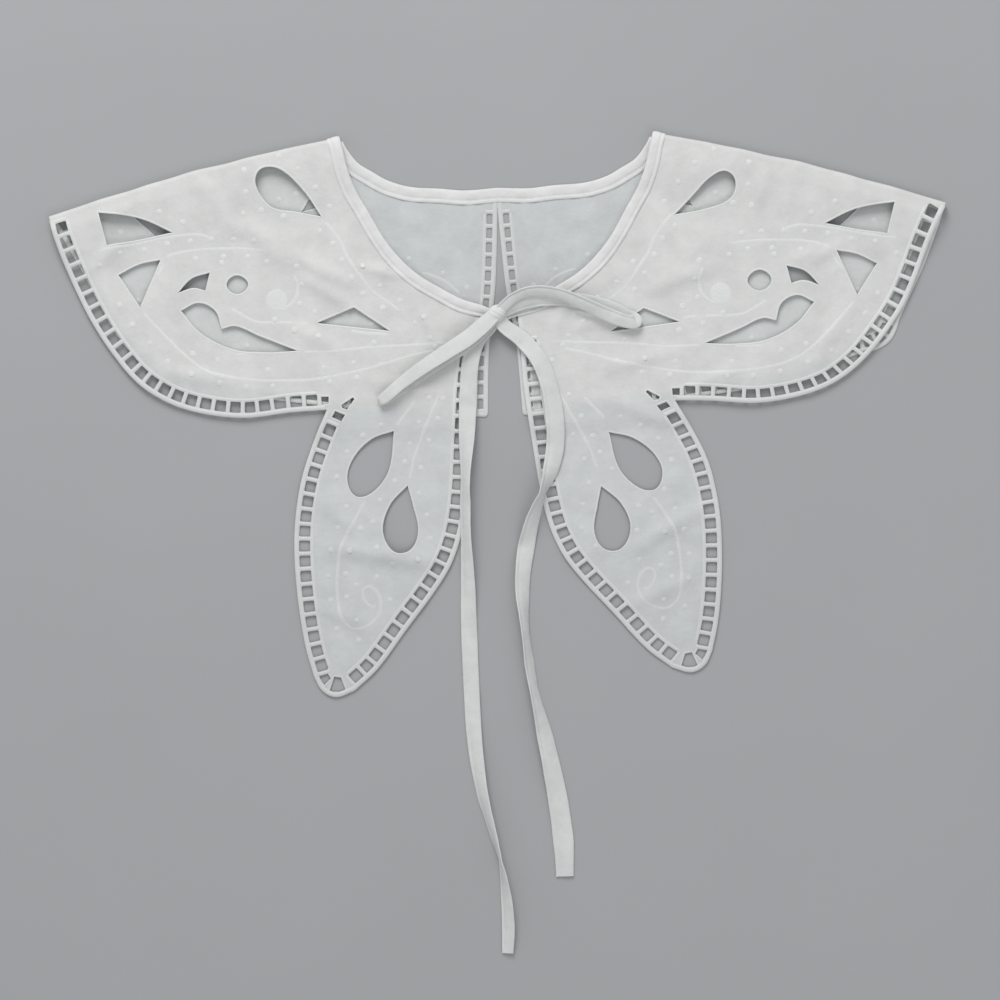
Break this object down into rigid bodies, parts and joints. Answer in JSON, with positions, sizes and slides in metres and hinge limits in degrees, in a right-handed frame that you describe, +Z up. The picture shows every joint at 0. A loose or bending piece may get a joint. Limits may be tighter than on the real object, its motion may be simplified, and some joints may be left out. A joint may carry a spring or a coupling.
{
  "type": "detachable lace collar",
  "caption": "White cutwork lace collar laid flat, with pierced wing-shaped fronts folded over its backs and a bias neck binding tied in a bow.",
  "frame": {"origin": "centre of the collar's footprint, on the surface that it lies on", "axes": "+Z up from that surface, +Y towards the back of the neck, +X to the right as seen from above"},
  "size_m": [0.5012, 0.4594, 0.0128],
  "materials": {
    "cotton": "fine plain-weave white cotton with white embroidery and cutwork",
    "cotton_inside": "the same white cotton, in the shade of the front",
    "bias_cotton": "folded bias strip of plain white cotton"
  },
  "bodies": {
    "root": {"front_left": "cotton", "front_right": "cotton", "back_left": "cotton_inside", "back_right": "cotton_inside", "binding_back": "bias_cotton", "binding_front_left": "bias_cotton", "binding_front_right": "bias_cotton", "bow_knot": "bias_cotton", "bow_loop_left": "bias_cotton", "bow_loop_right": "bias_cotton", "tie_end_left": "bias_cotton", "tie_end_right": "bias_cotton"}
  },
  "joints": []
}
